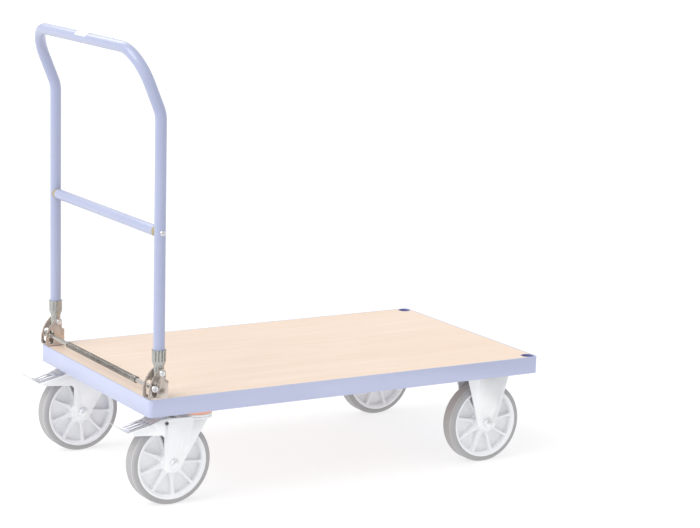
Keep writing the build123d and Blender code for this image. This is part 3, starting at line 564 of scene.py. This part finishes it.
def make_spring():
    """Coil round the lock bar, one wire swept along a helix."""
    low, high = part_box("lock_spring")
    coil = (high.x - low.x) / 2 - SPRING_WIRE
    length = high.y - low.y - 2 * SPRING_WIRE
    middle = (low + high) / 2
    sizes = {
        "Coil Radius": coil,
        "Wire Radius": SPRING_WIRE,
        "Length": length,
        "Turns": length / SPRING_PITCH,
        "Foot": (middle.x, low.y + SPRING_WIRE, middle.z),
    }
    kinds = {name: VECTOR if name == "Foot" else FLOAT for name in sizes}
    tree, given, result = new_geometry_tree("wound_spring", kinds)
    helix = add_node(
        tree,
        "GeometryNodeCurveSpiral",
        {
            "Resolution": 20,
            "Rotations": given["Turns"],
            "Start Radius": given["Coil Radius"],
            "End Radius": given["Coil Radius"],
            "Height": given["Length"],
        },
    )
    section = add_node(
        tree, "GeometryNodeCurvePrimitiveCircle", {"Resolution": 8, "Radius": given["Wire Radius"]}
    )
    swept = add_node(
        tree,
        "GeometryNodeCurveToMesh",
        {
            "Curve": helix.outputs["Curve"],
            "Profile Curve": section.outputs["Curve"],
            "Fill Caps": True,
        },
    )
    laid = add_node(
        tree,
        "GeometryNodeTransform",
        {
            "Geometry": swept.outputs["Mesh"],
            "Rotation": (radians(-90), 0.0, 0.0),
            "Translation": given["Foot"],
        },
    )
    finish_tree(tree, laid.outputs["Geometry"], FINISHES["spring_steel"], result)
    mesh = run_tree("lock_spring", tree, sizes)
    spring = add_piece("lock_spring_coil", mesh, "lock_bar", "spring_steel")
    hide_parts("lock_spring")


def tyre_outline(depth, half, shoulder):
    """Corners of half a tyre section as (out from the rim seat, across), rim to middle."""
    bead, arc_steps = 0.5 * MM, 7
    outline = [
        (-1.5 * MM, half - 3 * MM),
        (0.0, half),
        (1.2 * MM, half),
        (1.7 * MM, half + bead),
        (2.3 * MM, half + bead),
        (2.8 * MM, half),
    ]
    for step in range(arc_steps + 1):
        turn = radians(90) * step / arc_steps
        outline.append(
            (depth - shoulder * (1 - sin(turn)), half - shoulder * (1 - cos(turn)))
        )
    outline.append((depth - 0.5 * MM, half - shoulder - 0.6 * MM))
    outline.append((depth, half - shoulder - 1.2 * MM))
    return outline


def make_tyre_tree():
    """A section swept once round the axle and set on its wheel centre."""
    tree, given, result = new_geometry_tree("turned_tyre", {"Seat Radius": FLOAT, "Centre": VECTOR})
    ring = add_node(
        tree, "GeometryNodeCurvePrimitiveCircle", {"Resolution": 96, "Radius": given["Seat Radius"]}
    )
    section = add_node(tree, "GeometryNodeMeshToCurve", {"Mesh": given["Geometry"]})
    swept = add_node(
        tree,
        "GeometryNodeCurveToMesh",
        {"Curve": ring.outputs["Curve"], "Profile Curve": section.outputs["Curve"]},
    )
    laid = add_node(
        tree,
        "GeometryNodeTransform",
        {
            "Geometry": swept.outputs["Mesh"],
            "Rotation": (radians(90), 0.0, 0.0),
            "Translation": given["Centre"],
        },
    )
    finish_tree(tree, laid.outputs["Geometry"], FINISHES["grey_tyre"], result)
    return tree


def make_tyre(tree, node):
    """Tyre with a moulded bead, round shoulders and a fine line where the tread begins."""
    low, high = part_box(node)
    half = (high.y - low.y) / 2
    depth = (high.z - low.z) / 2 - TYRE_SEAT
    near_half = tyre_outline(depth, half, TYRE_SHOULDER)
    loop = [(out, -across) for out, across in near_half]
    loop += [(out, across) for out, across in reversed(near_half)]
    draft = bpy.data.meshes.new(node)
    edges = [(at, (at + 1) % len(loop)) for at in range(len(loop))]
    draft.from_pydata([(out, across, 0.0) for out, across in loop], edges, [])
    centre = (low + high) / 2
    mesh = run_tree(node, tree, {"Seat Radius": TYRE_SEAT, "Centre": tuple(centre)}, draft)
    mesh.set_sharp_from_angle(angle=TYRE_SHARP_ANGLE)
    tyre = add_piece(node + "_turned", mesh, body_of(node), "grey_tyre")
    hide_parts(node)


RAILS = [f"side_rail_{side}" for side in SIDES] + ["end_rail_handle", "end_rail_front"]
SCREWS = ("fixed_axles", "castor_screws", "hinge_bolts", "lock_bar_screws", "crossbar_screws")
CASTORS = ("swivel", "fixed")
soften("edge_frame", FRAME_EDGE, RAILS, open_mitres)
for side in SIDES:
    soften(f"fold_bracket_{side}", SHEET_EDGE)
    soften(f"fixed_fork_{side}", FORK_EDGE)
    soften(f"swivel_fork_{side}", FORK_EDGE)
    soften(f"brake_pedal_{side}", SHEET_EDGE)
    soften(f"swivel_plate_{side}", SHEET_EDGE)
    soften(f"swivel_axle_{side}", SCREW_EDGE)
    for castor in CASTORS:
        soften(f"{castor}_rim_{side}", RIM_EDGE)
for name in SCREWS:
    soften(name, SCREW_EDGE)
make_spring()
TYRE_TREE = make_tyre_tree()
for castor in CASTORS:
    for side in SIDES:
        make_tyre(TYRE_TREE, f"{castor}_tyre_{side}")


# ---- stage ------------------------------------------------------------------
FLOOR_HALF = 60.0
FLOOR_GLOW = 0.68                   # lifts the paper to plain white away from the shadow
FLAG_DISTANCE, FLAG_TOP = 1.0, 0.6
FLAG_BEARINGS = ((250, 0.22), (292, 0.26), (335, 0.25), (205, 0.3))     # degrees, width
SOFTBOX_GLOW, SOFTBOX_HEIGHT = 1.9, 2.2
SOFTBOX_X, SOFTBOX_Y = (-1.3, 0.7), (1.2, 3.6)
SKY_LOW, SKY_HIGH, SKY_STRENGTH = 0.82, 0.88, 0.96
SUN_STRENGTH, SUN_SPREAD, SUN_FROM = 1.7, 50, (-0.72, -0.05, 0.66)
CAMERA_PLACE, CAMERA_TURN = (-2.173, -3.936, 1.044), (59.63, 10.92, 1.42)   # yaw, pitch, roll
CAMERA_LENS, CAMERA_SENSOR = 119.57, 36.0


def grey(value):
    return (value, value, value, 1.0)


def make_glow(shader, strength):
    """Let a finish shine white by itself."""
    shader.inputs["Emission Color"].default_value = grey(1.0)
    shader.inputs["Emission Strength"].default_value = strength


def add_sheet(name, corners, faces, material):
    """Flat stage object from its corners."""
    mesh = bpy.data.meshes.new(name)
    mesh.from_pydata(corners, [], [faces])
    mesh.materials.append(material)
    sheet = bpy.data.objects.new(name, mesh)
    bpy.context.scene.collection.objects.link(sheet)
    return sheet


def only_in_reflections(sheet):
    sheet.visible_camera = sheet.visible_diffuse = sheet.visible_shadow = False


def make_floor():
    half = FLOOR_HALF
    corners = [(-half, -half), (half, -half), (half, half), (-half, half)]
    material, tree, shader = new_finish("floor_paper", 0.9, Specular_IOR_Level=0.1)
    mottle = use_group(tree, MOTTLE, Broad_Scale=0.7, Fine_Scale=60.0)
    paper = add_mix(tree, mottle["Broad"], (0.357, 0.359, 0.362, 1.0), (0.347, 0.349, 0.352, 1.0))
    tree.links.new(paper, shader.inputs["Base Color"])
    make_glow(shader, FLOOR_GLOW)
    points = [(x, y, FLOOR_HEIGHT) for x, y in corners]
    add_sheet("studio_floor", points, (0, 1, 2, 3), material)


def make_flags():
    """Dark strips round the handle end that only polished metal sees."""
    material, _, shader = new_finish("black_flag", 1.0)
    shader.inputs["Base Color"].default_value = (0.02, 0.015, 0.01, 1)
    centre = Vector((-0.4, 0.0, 0.0))
    low, high = Vector((0, 0, FLOOR_HEIGHT + 0.01)), Vector((0, 0, FLAG_TOP))
    for number, (bearing, width) in enumerate(FLAG_BEARINGS):
        angle = radians(bearing)
        foot = centre + Vector((cos(angle), sin(angle), 0.0)) * FLAG_DISTANCE
        along = Vector((-sin(angle), cos(angle), 0.0)) * width / 2
        left, right = foot - along, foot + along
        points = [left + low, right + low, right + high, left + high]
        flag = add_sheet(f"flag_{number}", points, (0, 1, 2, 3), material)
        only_in_reflections(flag)


def make_softbox():
    """Broad lit card high behind the cart that only glossy surfaces see."""
    material, _, shader = new_finish("softbox_card", 1.0)
    make_glow(shader, SOFTBOX_GLOW)
    (left, right), (front, back) = SOFTBOX_X, SOFTBOX_Y
    outline = [(left, front), (right, front), (right, back), (left, back)]
    corners = [(x, y, SOFTBOX_HEIGHT) for x, y in outline]
    card = add_sheet("softbox", corners, (0, 3, 2, 1), material)
    only_in_reflections(card)


def make_light():
    """Bright overhead dome, dimmer at the horizon, and one broad soft sun."""
    world = bpy.data.worlds.new("studio_dome")
    bpy.context.scene.world = world
    world.use_nodes = True
    tree = world.node_tree
    direction = add_node(tree, "ShaderNodeTexCoord").outputs["Generated"]
    height = add_node(tree, "ShaderNodeSeparateXYZ", {"Vector": direction}).outputs["Z"]
    rise = add_range(tree, height, -0.05, 0.55, 0.0, 1.0)
    sky = add_mix(tree, rise, grey(SKY_LOW), grey(SKY_HIGH))
    tree.links.new(sky, tree.nodes["Background"].inputs["Color"])
    tree.nodes["Background"].inputs["Strength"].default_value = SKY_STRENGTH
    sun_data = bpy.data.lights.new("key_light", "SUN")
    sun_data.energy = SUN_STRENGTH
    sun_data.angle = radians(SUN_SPREAD)
    sun = bpy.data.objects.new("key_light", sun_data)
    sun.rotation_euler = Vector(SUN_FROM).to_track_quat("Z", "Y").to_euler()
    bpy.context.scene.collection.objects.link(sun)


def make_camera():
    """Long lens from the front near corner, looking slightly down."""
    yaw, pitch, roll = (radians(angle) for angle in CAMERA_TURN)
    forward = Vector((cos(yaw) * cos(pitch), sin(yaw) * cos(pitch), -sin(pitch)))
    right = Vector((sin(yaw), -cos(yaw), 0.0))
    up = right.cross(forward)
    across = cos(roll) * right + sin(roll) * up
    upright = cos(roll) * up - sin(roll) * right
    data = bpy.data.cameras.new("camera")
    data.sensor_width = CAMERA_SENSOR
    data.lens = CAMERA_LENS
    camera = bpy.data.objects.new("camera", data)
    turn = Matrix((across, upright, -forward)).transposed()
    camera.matrix_world = Matrix.Translation(CAMERA_PLACE) @ turn.to_4x4()
    bpy.context.scene.collection.objects.link(camera)
    bpy.context.scene.camera = camera


make_floor()
make_flags()
make_softbox()
make_light()
make_camera()
bpy.context.scene.view_settings.view_transform = "Standard"
